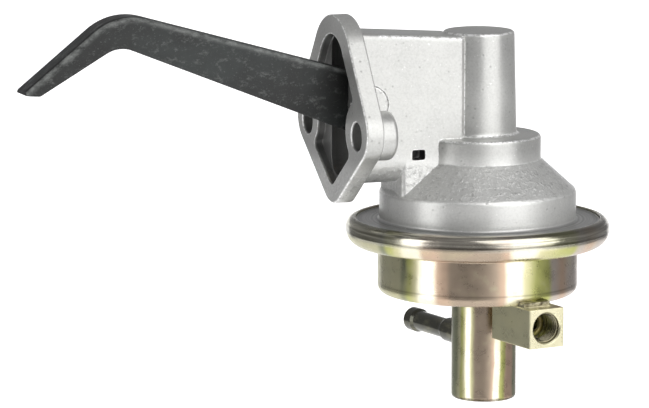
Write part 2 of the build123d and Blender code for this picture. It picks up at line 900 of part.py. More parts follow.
def valve_spring():
    """The light coil between the disc and the cage's roof."""
    foot = valve_seat_thickness + valve_disc_thickness + running_gap
    return coil(valve_coil_radius, valve_wire_radius, valve_turns, foot,
                valve_height - valve_cage_wall - running_gap, 0)


def inlet_place(piece):
    """A valve piece in the carrier's tube, opening upward."""
    return Pos(can_x, 0, carrier_foot_z - valve_height) * piece


def outlet_place(piece):
    """A valve piece in the carrier's deck, opening downward."""
    return Pos(axis_x - outlet_valve_offset, 0, carrier_top_z) * Rot(180, 0, 0) * piece


# Inlet can, nipple and outlet block

def along_block(reach):
    """The plan point (x, y) at reach from the can axis along the outlet block."""
    angle = radians(block_angle)
    return can_x + reach * sin(angle), -reach * cos(angle)


def on_block(piece):
    """A piece drawn along +X from the can axis, turned to the outlet block's direction."""
    return Pos(can_x, 0, block_z) * Rot(0, 0, block_angle - 90) * piece


def on_nipple(piece):
    """A piece drawn along +X from the can axis, turned to the nipple's direction."""
    return Pos(can_x, 0, nipple_z) * Rot(0, 0, nipple_angle + 90) * piece


def inlet_can():
    """The drawn steel can under the bowl, pierced for the nipple."""
    inner = can_radius - can_sheet
    can = turned([
        (0, can_foot_z, 0),
        (can_radius, can_foot_z, can_corner_round),
        (can_radius, bowl_foot_z, 0),
        (inner, bowl_foot_z, 0),
        (inner, can_foot_z + can_sheet, can_corner_round / 2),
        (0, can_foot_z + can_sheet, 0),
    ], can_axis)
    return can - on_nipple(lengthwise_rod(0, 2 * can_radius, 0, 0, nipple_base_radius + press_gap))


def inlet_nipple():
    """The hose nipple: base sleeve through the can, barrel, bead and bore."""
    root = can_radius - 2 * can_sheet
    bead_foot = nipple_reach - nipple_bead_length
    outline = [
        (root, 0),
        (root, nipple_base_radius),
        (nipple_base_reach, nipple_base_radius),
        (nipple_base_reach + nipple_base_taper, nipple_radius),
        (bead_foot - nipple_bead_taper, nipple_radius),
        (bead_foot, nipple_bead_radius),
        (nipple_reach - nipple_chamfer, nipple_bead_radius),
        (nipple_reach, nipple_bead_radius - nipple_chamfer),
        (nipple_reach, 0),
    ]
    barrel = revolve(make_face(Polyline(*outline, close=True)), axis=Axis.X)
    return on_nipple(barrel - lengthwise_rod(0, nipple_reach + past, 0, 0, nipple_bore))


def port_tool():
    """The port's hollow along +X: mouth chamfer, threaded length, relief and inverted flare seat."""
    seat_foot = block_reach - port_depth
    relief_top = seat_foot + flare_height + seat_gap
    outline = [
        (outlet_hole_reach - passage_radius, 0),
        (outlet_hole_reach - passage_radius, passage_radius),
        (seat_foot + flare_height, passage_radius),
        (seat_foot, flare_radius),
        (seat_foot, relief_radius),
        (relief_top, relief_radius),
        (relief_top, port_radius),
        (block_reach - port_chamfer, port_radius),
        (block_reach, port_radius + port_chamfer),
        (block_reach + past, port_radius + port_chamfer),
        (block_reach + past, 0),
    ]
    return revolve(make_face(Polyline(*outline, close=True)), axis=Axis.X)


def outlet_block():
    """The square outlet block under the bowl's floor, shouldered against the bowl's wall."""
    half = block_side / 2
    bar = slab((block_root, -half, -half), (block_reach, half, half))
    bar = chamfer(bar.edges().filter_by(Axis.X) + bar.edges().group_by(Axis.X)[-1], block_edge)
    saddle_low = -half + block_edge
    shoulder = slab(
        (bowl_radius - 2 * bowl_corner_round, saddle_low, half - block_edge),
        (saddle_reach, saddle_low + saddle_width, half + saddle_height),
    )
    top_rims = shoulder.faces().sort_by(Axis.Z)[-1].edges()
    block = on_block(bar + chamfer(top_rims, block_edge) - port_tool())
    block -= turned([
        (0, bowl_foot_z, 0),
        (bowl_radius + press_gap, bowl_foot_z, bowl_corner_round),
        (bowl_radius + press_gap, seat_z, 0),
        (0, seat_z, 0),
    ])
    x, y = along_block(outlet_hole_reach)
    return block - rod_between(x, y, block_z, bowl_foot_z + past, outlet_hole_radius)


def nodes():
    """Every piece of the pump under the name of its node."""
    pieces = {
        "rocker_housing": rocker_housing(),
        "rocker_arm": rocker_arm(),
        "pivot_bushing": pivot_bushing(),
        "pivot_pin": pivot_pin(),
        "pivot_cap_near": pivot_cap(-1),
        "pivot_cap_far": pivot_cap(1),
        "thrust_washer_near": thrust_washer(-1),
        "thrust_washer_far": thrust_washer(1),
        "pull_rod": pull_rod(),
        "return_spring_seat": return_spring_seat(),
        "return_spring": coil(return_coil_radius, return_wire_radius, return_turns,
                              spring_seat_top_z + running_gap, tower_bore_top_z - running_gap),
        "rod_seal": rod_seal(),
        "seal_retainer": seal_retainer(),
        "diaphragm_spring": coil(diaphragm_coil_radius, diaphragm_wire_radius, diaphragm_turns,
                                 plate_top_z + running_gap, retainer_foot_z - running_gap),
        "diaphragm": diaphragm(),
        "upper_plate": pressed_plate(upper_plate_radius, diaphragm_top_z, diaphragm_top_z + plate_rim),
        "lower_plate": pressed_plate(lower_plate_radius, diaphragm_foot_z, diaphragm_foot_z - plate_rim),
        "plate_washer": plate_washer(),
        "rod_nut": rod_nut(),
        "lower_bowl": lower_bowl(),
        "valve_carrier": valve_carrier(),
        "carrier_gasket": carrier_gasket(),
        "inlet_can": inlet_can(),
        "inlet_nipple": inlet_nipple(),
        "outlet_block": outlet_block(),
    }
    valve_pieces = {"seat": valve_seat, "disc": valve_disc, "spring": valve_spring, "cage": valve_cage}
    for part, make in valve_pieces.items():
        pieces["inlet_valve_" + part] = inlet_place(make())
        pieces["outlet_valve_" + part] = outlet_place(make())
    return pieces


os.makedirs("parts", exist_ok=True)
for name, piece in nodes().items():
    export_step(piece, "parts/" + name + ".step")
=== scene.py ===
import json
from math import cos, pi, radians, sin

import bmesh
import bpy
from bpy.props import FloatProperty, FloatVectorProperty, IntProperty, PointerProperty
from mathutils import Matrix, Vector


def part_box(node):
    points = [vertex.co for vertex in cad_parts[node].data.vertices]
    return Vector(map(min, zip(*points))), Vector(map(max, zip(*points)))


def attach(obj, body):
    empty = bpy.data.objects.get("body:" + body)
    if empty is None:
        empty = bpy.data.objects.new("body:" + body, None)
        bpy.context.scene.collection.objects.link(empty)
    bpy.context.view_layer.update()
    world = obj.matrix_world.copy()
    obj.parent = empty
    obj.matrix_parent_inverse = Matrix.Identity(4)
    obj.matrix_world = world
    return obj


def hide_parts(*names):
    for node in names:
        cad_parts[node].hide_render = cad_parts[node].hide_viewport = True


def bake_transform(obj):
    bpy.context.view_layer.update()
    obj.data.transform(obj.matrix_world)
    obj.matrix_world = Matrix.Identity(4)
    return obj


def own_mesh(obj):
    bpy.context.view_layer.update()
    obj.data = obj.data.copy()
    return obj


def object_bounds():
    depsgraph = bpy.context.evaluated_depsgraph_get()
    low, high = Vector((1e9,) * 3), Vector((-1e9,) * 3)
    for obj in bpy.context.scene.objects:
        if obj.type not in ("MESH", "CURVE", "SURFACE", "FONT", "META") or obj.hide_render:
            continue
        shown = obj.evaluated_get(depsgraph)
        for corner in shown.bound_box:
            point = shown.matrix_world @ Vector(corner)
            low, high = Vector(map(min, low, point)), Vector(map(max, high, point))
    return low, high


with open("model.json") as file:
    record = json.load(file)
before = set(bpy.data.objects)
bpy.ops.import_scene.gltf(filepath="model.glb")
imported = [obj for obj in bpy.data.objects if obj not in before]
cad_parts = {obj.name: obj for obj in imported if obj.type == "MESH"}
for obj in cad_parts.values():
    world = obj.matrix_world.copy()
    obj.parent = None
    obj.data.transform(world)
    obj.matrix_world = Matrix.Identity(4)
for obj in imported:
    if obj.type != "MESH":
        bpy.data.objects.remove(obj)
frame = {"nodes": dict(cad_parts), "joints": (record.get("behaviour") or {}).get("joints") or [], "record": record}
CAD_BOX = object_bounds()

bl_info = {
    "name": "Fuel pump dressing",
    "version": (1, 0, 0),
    "blender": (4, 5, 0),
    "location": "3D View > Sidebar > Fuel pump",
    "description": "Finishes, springs, diaphragm, port thread and studio of a mechanical fuel pump",
    "category": "Object",
}

NODES = frame["nodes"]
MM = 0.001


# Places read from the frame

def node_centre(name):
    """Middle of a node's box."""
    low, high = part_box(name)
    return (low + high) / 2


def mount(name):
    """The record's mount of that name."""
    return next(m for m in frame["record"]["mounts"] if m["name"] == name)


def joint(name):
    """The record's joint of that name."""
    return next(j for j in frame["joints"] if j["name"] == name)


def hole_ball(mouth, outward, radius, depth):
    """Middle and reach of the ball that holds a round hole and meets its face at the hole's edge."""
    return Vector(mouth) - Vector(outward) * depth / 2, (radius ** 2 + (depth / 2) ** 2) ** 0.5


def port_ball():
    """The ball that holds the outlet port."""
    port = mount("outlet_port")
    sizes = port["dims"]
    return hole_ball(port["pos_m"], port["axis"], sizes["r_mm"] * MM, sizes["length_mm"] * MM)


def bolt_hole_balls():
    """The balls that hold the front of both bolt holes."""
    bolts = mount("flange_bolts")
    side = bolts["dims"]["spacing_x_mm"] * MM / 2
    radius = bolts["dims"]["hole_r_mm"] * MM
    return [hole_ball((0, y, 0), bolts["axis"], radius, 2 * radius) for y in (-side, side)]


PUMP_AXIS = node_centre("lower_bowl")
CAN_AXIS = node_centre("inlet_can")
FOOT_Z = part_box("inlet_can")[0].z

# Bands of passivate colour and painted reflection: azimuth in degrees from the outlet side on, and tone. They lie
# where the lamps and the dim studio mirror in the plate at this camera: highlight and cream are painted
# highlights, mauve between the highlights and moss are painted dark reflection and shade, and the other tones are
# the passivate's own.
BOWL_TONES_AND_REFLECTIONS = (
    (-111, "olive"), (-90, "olive"), (-74, "olive"), (-69, "moss"), (-65, "green"), (-61, "gold"),
    (-57, "straw"), (-51, "straw"), (-46, "pink"), (-41, "pink"), (-36, "mauve"), (-15, "mauve"),
    (-9, "pink"), (-5, "straw"), (4, "straw"), (8, "gold"), (14, "green"), (22, "green"), (28, "haze"),
    (36, "pink"), (46, "haze"), (58, "haze"), (90, "gold"), (112, "green"), (135, "olive"),
    (165, "mauve"), (190, "gold"), (215, "pink"), (235, "green"),
)
CAN_TONES_AND_REFLECTIONS = (
    (-98, "moss"), (-82, "moss"), (-72, "olive"), (-66, "green"), (-60, "gold"), (-56, "straw"),
    (-49, "straw"), (-44, "gold"), (-37, "mauve"), (-13, "mauve"), (-7, "pink"), (-3, "straw"),
    (5, "straw"), (9, "green"), (15, "green"), (22, "pink"), (35, "pink"), (44, "moss"),
    (70, "mauve"), (100, "gold"), (130, "green"), (170, "pink"), (200, "gold"), (235, "mauve"),
)
BLOCK_TONES_AND_REFLECTIONS = (
    (-150, "olive"), (-23, "olive"), (-19, "cream"), (36, "cream"), (41, "green"), (110, "mauve"),
    (150, "olive"),
)

# Tones of the marks on the cast skin, and of the painted light on its lower body
SKIRT_PAINTED_LIGHT = (0.85, 0.85, 0.83)
PALE_GRAIN = (0.7, 0.7, 0.69)
DARK_GRAIN = (0.30, 0.30, 0.295)
PIT_TONE = (0.16, 0.16, 0.155)
BLOT_TONE = (0.17, 0.17, 0.165)
RING_TONE = (0.13, 0.13, 0.13)
CHIP_TONE = (0.86, 0.86, 0.85)
WORN_AND_HIGHLIGHT_TONE = (0.95, 0.95, 0.94)

# Tone of the dirt specks on the plate
SPECK_TONE = (0.09, 0.085, 0.06)

# The set, turned with the camera
VIEW_TURN = radians(-21)
VIEW_TILT = radians(81)
CAMERA_PLACE = (-0.6334, -1.6423, 0.2482)
CAMERA_LENS = 247.73
CAMERA_SENSOR = 36
FLOOR_WIDTH = 2.4
BACKDROP_PLACE = (0.43, 1.12)
BACKDROP_WIDTH = 1.2
BACKDROP_HEIGHT = 0.56


# Property groups

class CastingLook(bpy.types.PropertyGroup):
    """Finish of the aluminium casting and its two caps."""

    colour: FloatVectorProperty(
        name="Colour", description="Plain tone of the cast aluminium",
        default=(0.53, 0.53, 0.51), size=3, subtype="COLOR", min=0, max=1)
    shade: FloatVectorProperty(
        name="Shade", description="Darker tone of its cloudy patches",
        default=(0.44, 0.44, 0.425), size=3, subtype="COLOR", min=0, max=1)
    metal: FloatProperty(
        name="Metal", description="How metallic the cast skin is",
        default=0.62, min=0, max=1, subtype="FACTOR")
    roughness: FloatProperty(
        name="Roughness", description="Roughness of the cast skin",
        default=0.35, min=0, max=1, subtype="FACTOR")
    grain: FloatProperty(
        name="Grain", description="Size of the skin's fine grain",
        default=0.0009, unit="LENGTH", precision=5)
    pits: FloatProperty(
        name="Pits", description="Spacing of its small pits", default=0.004, unit="LENGTH", precision=5)
    # Painted shade: the dark tone painted inside the mouth, the rocker box, the bolt holes and the breather slot.
    painted_shade: FloatVectorProperty(
        name="Hollow", description="Sooty tone of the skin inside the mouth and the breather slot",
        default=(0.20, 0.20, 0.195), size=3, subtype="COLOR", min=0, max=1)
    # Deep inside the rocker box the painted shade fades to this flat pale tone.
    depth: FloatVectorProperty(
        name="Depth", description="Tone of the bare skin deep inside the rocker box",
        default=(0.62, 0.62, 0.61), size=3, subtype="COLOR", min=0, max=1)
    # Painted light: under this height, down to the ledge, the skin is painted paler.
    lit_skirt: FloatProperty(
        name="Skirt", description="Height under which the casting's skin is paler", default=-0.012,
        unit="LENGTH", precision=5)
    # Reach of the pale band, partly wear and partly painted highlight, on the flange's front edge.
    front: FloatProperty(
        name="Front", description="How far behind the mounting face the flange's edge is worn",
        default=0.0012,
        unit="LENGTH", precision=5)
    slot_tone: FloatProperty(
        name="Slot tone", description="Share of the hollow's tone that is left in the breather slot",
        default=0.2, min=0, max=1, subtype="FACTOR")
    hollow_height: FloatProperty(
        name="Hollow height", description="Height of the middle of the mouth",
        default=0.006, unit="LENGTH", precision=5)
    slot_place: FloatVectorProperty(
        name="Slot place", description="Middle of the breather slot's opening",
        default=(0.0325, -0.0113, -0.0109), size=3, subtype="XYZ", unit="LENGTH", precision=5)
    ledge: FloatProperty(
        name="Ledge", description="Height under which the clamping flange is turned", default=-0.0392,
        unit="LENGTH", precision=5)
    cone_low: FloatProperty(
        name="Cone foot", description="Height of the rough cone's foot",
        default=-0.028, unit="LENGTH", precision=5)
    cone_high: FloatProperty(
        name="Cone top", description="Height of the rough cone's top",
        default=-0.015, unit="LENGTH", precision=5)


class ArmLook(bpy.types.PropertyGroup):
    """Finish of the phosphated rocker arm."""

    colour: FloatVectorProperty(
        name="Colour", description="Black of the phosphate coat",
        default=(0.017, 0.0175, 0.017), size=3, subtype="COLOR", min=0, max=1)
    bloom: FloatVectorProperty(
        name="Bloom", description="Greenish bloom on the coat",
        default=(0.029, 0.033, 0.032), size=3, subtype="COLOR", min=0, max=1)
    # Grey of the scuffs; made paler, it is the painted highlight along the folds.
    scuff_and_highlight: FloatVectorProperty(
        name="Scuff", description="Grey of its scuffs and its worn ridge",
        default=(0.15, 0.156, 0.15), size=3, subtype="COLOR", min=0, max=1)
    roughness: FloatProperty(
        name="Roughness", description="Roughness of the coat",
        default=0.42, min=0, max=1, subtype="FACTOR")


class ZincLook(bpy.types.PropertyGroup):
    """Finish of the yellow-passivated steel of the bowl, can, block and nipple."""

    gold: FloatVectorProperty(
        name="Gold", description="Pale yellow tone of the passivate",
        default=(0.56, 0.53, 0.31), size=3, subtype="COLOR", min=0, max=1)
    olive: FloatVectorProperty(
        name="Olive", description="Olive-grey tone of the passivate",
        default=(0.46, 0.44, 0.29), size=3, subtype="COLOR", min=0, max=1)
    # Painted highlight, laid in the bands where the lamps mirror in the plate.
    straw: FloatVectorProperty(
        name="Straw", description="Palest yellow tone of the passivate, where it is thinnest",
        default=(0.86, 0.82, 0.66), size=3, subtype="COLOR", min=0, max=1)
    # The passivate's brown-mauve; between the highlights it stands as a painted dark reflection of the dim studio.
    mauve: FloatVectorProperty(
        name="Mauve", description="Brown-mauve tone of the passivate",
        default=(0.37, 0.295, 0.225), size=3, subtype="COLOR", min=0, max=1)
    pink: FloatVectorProperty(
        name="Pink", description="Pink tone of the passivate",
        default=(0.52, 0.38, 0.28), size=3, subtype="COLOR", min=0, max=1)
    haze: FloatVectorProperty(
        name="Haze", description="Grey-pink tone of the passivate, between pink and olive",
        default=(0.50, 0.44, 0.39), size=3, subtype="COLOR", min=0, max=1)
    green: FloatVectorProperty(
        name="Green", description="Green tone of the passivate",
        default=(0.42, 0.43, 0.15), size=3, subtype="COLOR", min=0, max=1)
    silver: FloatVectorProperty(
        name="Silver", description="Rubbed, nearly colourless tone of the rolled rim",
        default=(0.62, 0.60, 0.53), size=3, subtype="COLOR", min=0, max=1)
    # Painted highlight on the end of the outlet block, which mirrors the key lamp.
    cream: FloatVectorProperty(
        name="Cream", description="Palest tone, on the end of the outlet block",
        default=(0.70, 0.66, 0.46), size=3, subtype="COLOR", min=0, max=1)
    moss: FloatVectorProperty(
        name="Moss", description="Dark green-grey tone of the shaded sides",
        default=(0.22, 0.23, 0.15), size=3, subtype="COLOR", min=0, max=1)
    # Painted dark reflection: a thin dark line at this height over the bowl's foot.
    dark_reflection: FloatProperty(
        name="Crease", description="Height of the crease over the bowl's foot",
        default=0.0044, unit="LENGTH", precision=5)
    foot: FloatProperty(
        name="Foot", description="How far up the can's foot is grimy",
        default=0.0014, unit="LENGTH", precision=5)
    # Brown-black tone: painted shade in the outlet port, the painted dark reflection line over the bowl's foot,
    # and the patchy darkening at the can's foot and at the foot of the outlet block.
    dark_brown: FloatVectorProperty(
        name="Grime", description="Brown-black dirt in the corners",
        default=(0.07, 0.055, 0.035), size=3, subtype="COLOR", min=0, max=1)
    rubbed: FloatProperty(
        name="Rubbed height", description="How far down the rolled rim is rubbed bright", default=0.006,
        unit="LENGTH", precision=5)
    dark: FloatVectorProperty(
        name="Dark olive", description="Tone of the thick coat on the nipple",
        default=(0.085, 0.085, 0.068), size=3, subtype="COLOR", min=0, max=1)
    roughness: FloatProperty(
        name="Roughness", description="Roughness of the plated steel",
        default=0.27, min=0, max=1, subtype="FACTOR")


class ThreadSizes(bpy.types.PropertyGroup):
    """Sizes of the thread in the outlet port."""

    pitch: FloatProperty(
        name="Pitch", description="Advance of the thread in one turn",
        default=0.00127, unit="LENGTH", precision=5)
    depth: FloatProperty(
        name="Depth", description="Height of the thread over the port's bore", default=0.0006,
        unit="LENGTH", precision=5)
    crest: FloatProperty(
        name="Crest", description="Width of the thread's flat crest",
        default=0.0002, unit="LENGTH", precision=5)
    run_out: FloatProperty(
        name="Run-out", description="Length at each end over which the thread fades", default=0.0012,
        unit="LENGTH", precision=5)
    steps: IntProperty(name="Steps", description="Facets in one turn", default=72, min=24)


class CoilSizes(bpy.types.PropertyGroup):
    """Sizes of the coil springs."""

    return_wire: FloatProperty(
        name="Return wire", description="Wire diameter of the return spring", default=0.002,
        unit="LENGTH", precision=5)
    return_turns: IntProperty(
        name="Return turns", description="Turns of the return spring", default=5, min=1)
    diaphragm_wire: FloatProperty(
        name="Diaphragm wire", description="Wire diameter of the diaphragm spring", default=0.0026,
        unit="LENGTH", precision=5)
    diaphragm_turns: IntProperty(
        name="Diaphragm turns", description="Turns of the diaphragm spring", default=5, min=1)
    valve_wire: FloatProperty(
        name="Valve wire", description="Wire diameter of the valve springs", default=0.0007,
        unit="LENGTH", precision=5)
    valve_turns: IntProperty(name="Valve turns", description="Turns of the valve springs", default=3, min=1)


class DiaphragmSizes(bpy.types.PropertyGroup):
    """Sizes of the diaphragm."""

    thickness: FloatProperty(
        name="Thickness", description="Thickness of the fabric rubber",
        default=0.0012, unit="LENGTH", precision=5)
    clamp_inner: FloatProperty(
        name="Clamp", description="Radius inside which the diaphragm is free", default=0.0368,
        unit="LENGTH", precision=5)
    bore: FloatProperty(
        name="Bore", description="Radius of its hole round the pull rod's stud", default=0.00251,
        unit="LENGTH", precision=5)
    fold_width: FloatProperty(
        name="Fold width", description="Width of each side of its fold",
        default=0.0038, unit="LENGTH", precision=5)
    fold_depth: FloatProperty(
        name="Fold depth", description="Depth of the fold under the middle", default=0.0036,
        unit="LENGTH", precision=5)


class StudioLook(bpy.types.PropertyGroup):
    """Lamps, floor and surroundings."""

    key_power: FloatProperty(
        name="Key lamp", description="Power of the broad front lamp", default=16.0, unit="POWER")
    side_power: FloatProperty(
        name="Side lamp", description="Power of the left lamp", default=3.2, unit="POWER")
    surround: FloatVectorProperty(
        name="Surround", description="Tone of the dim studio round the set",
        default=(0.30, 0.30, 0.305), size=3, subtype="COLOR", min=0, max=1)
    drop: FloatProperty(
        name="Drop", description="Height at which the pump hangs over the floor",
        default=0.35, unit="LENGTH")
    floor: FloatVectorProperty(
        name="Floor", description="Tone of floor and backdrop",
        default=(0.90, 0.90, 0.90), size=3, subtype="COLOR", min=0, max=1)
    glow: FloatProperty(
        name="Glow", description="Share of plain white added to floor and backdrop",
        default=0.75, min=0, max=1, subtype="FACTOR")


# Material building blocks

class Recipe:
    """A material under construction: its node tree, its principled shader and its object coordinates."""

    def __init__(self, name):
        self.material = bpy.data.materials.new(name)
        self.material.use_nodes = True
        self.tree = self.material.node_tree
        self.shader = next(n for n in self.tree.nodes if n.type == "BSDF_PRINCIPLED")
        self.output = next(n for n in self.tree.nodes if n.type == "OUTPUT_MATERIAL")
        coordinates = self.add("ShaderNodeTexCoord")
        self.place = coordinates.outputs["Object"]
        self.normal = coordinates.outputs["Normal"]

    def add(self, kind, **values):
        """A new node, with its plain settings given by name."""
        made = self.tree.nodes.new(kind)
        for key, value in values.items():
            setattr(made, key, value)
        return made

    def link(self, source, target):
        """Join an output to an input."""
        self.tree.links.new(source, target)

    def feed(self, socket, value):
        """Link an input to an output, or set it to a number, a vector or a colour."""
        if hasattr(value, "is_output"):
            self.link(value, socket)
        elif socket.type == "RGBA":
            socket.default_value = (*value[:3], 1)
        else:
            socket.default_value = value

    def set(self, **values):
        """Set the principled shader's own sockets, spaces written as underscores."""
        for key, value in values.items():
            self.feed(self.shader.inputs[key.replace("_", " ").title().replace("Ior", "IOR")], value)

    def noise(self, feature, detail=3, rough=0.5, stretch=(1, 1, 1), centre=(0, 0, 0)):
        """Noise whose features are about that many metres wide."""
        texture = self.add("ShaderNodeTexNoise")
        texture.inputs["Scale"].default_value = 1 / feature
        texture.inputs["Detail"].default_value = detail
        texture.inputs["Roughness"].default_value = rough
        self.link(self.mapped(stretch, centre), texture.inputs["Vector"])
        return texture.outputs["Fac"]

    def mapped(self, stretch=(1, 1, 1), centre=(0, 0, 0)):
        """Object coordinates, moved and stretched."""
        if stretch == (1, 1, 1) and centre == (0, 0, 0):
            return self.place
        mapping = self.add("ShaderNodeMapping")
        mapping.inputs["Scale"].default_value = stretch
        mapping.inputs["Location"].default_value = [-c * s for c, s in zip(centre, stretch)]
        self.link(self.place, mapping.inputs["Vector"])
        return mapping.outputs["Vector"]

    def cells(self, feature):
        """Distance to the nearest of scattered points that lie about that far apart."""
        texture = self.add("ShaderNodeTexVoronoi")
        texture.inputs["Scale"].default_value = 1 / feature
        self.link(self.place, texture.inputs["Vector"])
        return texture.outputs["Distance"]

    def part_of(self, vector, letter):
        """One component of a vector output."""
        split = self.add("ShaderNodeSeparateXYZ")
        self.link(vector, split.inputs["Vector"])
        return split.outputs[letter]

    def between(self, source, low, high, soft):
        """One where the source lies between low and high, nothing outside, with soft limits."""
        over = self.spread(source, low - soft, low + soft)
        under = self.spread(source, high - soft, high + soft, 1.0, 0.0)
        return self.math("MULTIPLY", over, under)

    def level(self, low, high, soft):
        """One between two heights and nothing above and below them, with soft limits."""
        return self.between(self.part_of(self.place, "Z"), low, high, soft)

    def near(self, point, reach, soft):
        """One inside a ball round a point."""
        apart = self.vector("DISTANCE", self.place, point)
        return self.spread(apart.outputs["Value"], reach - soft, reach + soft, 1.0, 0.0)

    def edges(self, radius):
        """One along convex and concave edges, within about that radius."""
        bevel = self.add("ShaderNodeBevel", samples=8)
        bevel.inputs["Radius"].default_value = radius
        surface = self.add("ShaderNodeNewGeometry")
        turned = self.vector("DOT_PRODUCT", bevel.outputs["Normal"], surface.outputs["Normal"])
        return self.spread(turned.outputs["Value"], 0.88, 0.98, 1.0, 0.0)

    def facing_in(self, height):
        """One on faces that look towards a lengthwise line at that height, nothing on the others."""
        arm = self.vector("MULTIPLY_ADD", self.place, (0, 1, 1), (0, 0, -height))
        turned = self.vector("DOT_PRODUCT", arm.outputs["Vector"], self.normal)
        return self.spread(turned.outputs["Value"], -0.0015, -0.0005, 1.0, 0.0)

    def rings(self, axis, feature):
        """Noise in rings round an upright axis."""
        flat = self.vector("MULTIPLY", self.mapped(centre=(axis.x, axis.y, 0)), (1, 1, 0))
        reach = self.vector("LENGTH", flat.outputs["Vector"])
        line = self.add("ShaderNodeCombineXYZ")
        self.link(reach.outputs["Value"], line.inputs["X"])
        texture = self.add("ShaderNodeTexNoise")
        texture.inputs["Scale"].default_value = 1 / feature
        self.link(line.outputs["Vector"], texture.inputs["Vector"])
        return texture.outputs["Fac"]

    def spread(self, source, low, high, to_low=0.0, to_high=1.0):
        """The source's range from low to high, stretched to another range."""
        made = self.add("ShaderNodeMapRange")
        made.inputs["From Min"].default_value = low
        made.inputs["From Max"].default_value = high
        made.inputs["To Min"].default_value = to_low
        made.inputs["To Max"].default_value = to_high
        self.link(source, made.inputs["Value"])
        return made.outputs["Result"]

    def mix(self, share, one, other):
        """One colour turning into the other by share. Each may be a colour or an output."""
        made = self.add("ShaderNodeMix", data_type="RGBA")
        sockets = {s.identifier: s for s in made.inputs}
        for key, value in (("Factor_Float", share), ("A_Color", one), ("B_Color", other)):
            self.feed(sockets[key], value)
        return next(s for s in made.outputs if s.identifier == "Result_Color")

    def math(self, operation, one, other=0.0):
        """The sum, product or other join of two numbers or outputs."""
        made = self.add("ShaderNodeMath", operation=operation)
        self.feed(made.inputs[0], one)
        self.feed(made.inputs[1], other)
        return made.outputs["Value"]

    def vector(self, operation, *values):
        """A node that joins vectors or outputs."""
        made = self.add("ShaderNodeVectorMath", operation=operation)
        for socket, value in zip(made.inputs, values):
            self.feed(socket, value)
        return made

    def relief(self, layers, edge=0.0):
        """Bumps stacked from (height source, strength, depth in metres), over softened edges."""
        normal = None
        if edge:
            bevel = self.add("ShaderNodeBevel", samples=6)
            bevel.inputs["Radius"].default_value = edge
            normal = bevel.outputs["Normal"]
        for source, strength, depth in layers:
            bump = self.add("ShaderNodeBump")
            bump.inputs["Strength"].default_value = strength
            bump.inputs["Distance"].default_value = depth
            self.link(source, bump.inputs["Height"])
            if normal:
                self.link(normal, bump.inputs["Normal"])
            normal = bump.outputs["Normal"]
        self.link(normal, self.shader.inputs["Normal"])

    def paint(self, colour):
        """Link a colour output to the shader."""
        self.link(colour, self.shader.inputs["Base Color"])

    def gloss(self, roughness):
        """Link a roughness output to the shader."""
        self.link(roughness, self.shader.inputs["Roughness"])


def scaled(colour, factor):
    """A colour made lighter or darker."""
    return tuple(min(1, c * factor) for c in colour)


def give(material, *nodes):
    """Put one material on CAD nodes."""
    for name in nodes:
        for slot in NODES[name].material_slots:
            slot.material = material


# Finishes

def inside_casting(made, look):
    """One on the skin inside the mouth, the rocker box and the bolt holes, where shade is painted, nothing
    outside.
    """
    rim_from, rim_to = 0.0008, 0.0074
    box_from, box_to = 0.003, 0.05
    step_from, step_to = 0.0025, 0.006
    box_side = 0.0105
    box_foot = -0.021
    soft = 0.0004
    along, across, height = (made.part_of(made.place, letter) for letter in "XYZ")
    inward = made.facing_in(look.hollow_height)
    rim = made.math("MULTIPLY", inward, made.between(along, rim_from, rim_to, soft))
    box = made.math("MULTIPLY", inward, made.between(along, box_from, box_to, soft))
    box = made.math("MULTIPLY", box, made.between(across, -box_side, box_side, soft))
    box = made.math("MULTIPLY", box, made.spread(height, box_foot - 0.0005, box_foot + 0.0005))
    outward = made.spread(made.part_of(made.normal, "X"), -0.6, -0.4, 1, 0)
    step = made.math("MULTIPLY", made.between(along, step_from, step_to, soft), outward)
    near_hole, far_hole = (made.near(*ball, 0.0001) for ball in bolt_hole_balls())
    holes = made.math("MULTIPLY", made.math("MAXIMUM", near_hole, far_hole), 0.75)
    return made.math("MAXIMUM", made.math("MAXIMUM", rim, box), made.math("MAXIMUM", step, holes))


def breather_slot(made, look):
    """One on the skin of the breather slot, where shade is painted, nothing outside."""
    slot_reach = 0.006
    wall_outside = -0.0123
    wall_inside = -0.0119
    reach = made.near(look.slot_place, slot_reach, 0.0004)
    behind = made.spread(made.part_of(made.place, "Y"), wall_outside, wall_inside)
    return made.math("MULTIPLY", reach, behind)


def worn_and_highlit_edges(made, look):
    """One in broken patches on sharp edges, on the flange's front edge and on rounded edges that look up: partly
    wear, partly a painted highlight on the rounds and fillets.
    """
    flange_back = 0.015
    skirt_foot = look.ledge + 0.004
    along = made.part_of(made.place, "X")
    ahead = made.between(made.math("ABSOLUTE", made.part_of(made.normal, "X")), 0.4, 0.9, 0.08)
    front = made.math("MULTIPLY", ahead, made.spread(along, look.front, look.front + 0.0006, 1.0, 0.0))
    upward = made.between(made.part_of(made.normal, "Z"), 0.4, 0.88, 0.08)
    clear = made.math("SUBTRACT", 1.0, made.level(look.cone_low, look.cone_high, 0.0003))
    clear = made.math("MULTIPLY", clear, made.level(skirt_foot, 1.0, 0.0003))
    behind = made.spread(along, flange_back, flange_back + MM)
    upper = made.math("MULTIPLY", made.math("MULTIPLY", upward, clear), behind)
    rounded = made.math("MAXIMUM", front, upper)
    patch = made.spread(made.noise(0.0016, detail=4, rough=0.7), 0.42, 0.55)
    return made.math("MULTIPLY", made.math("MAXIMUM", rounded, made.edges(0.0014)), patch)


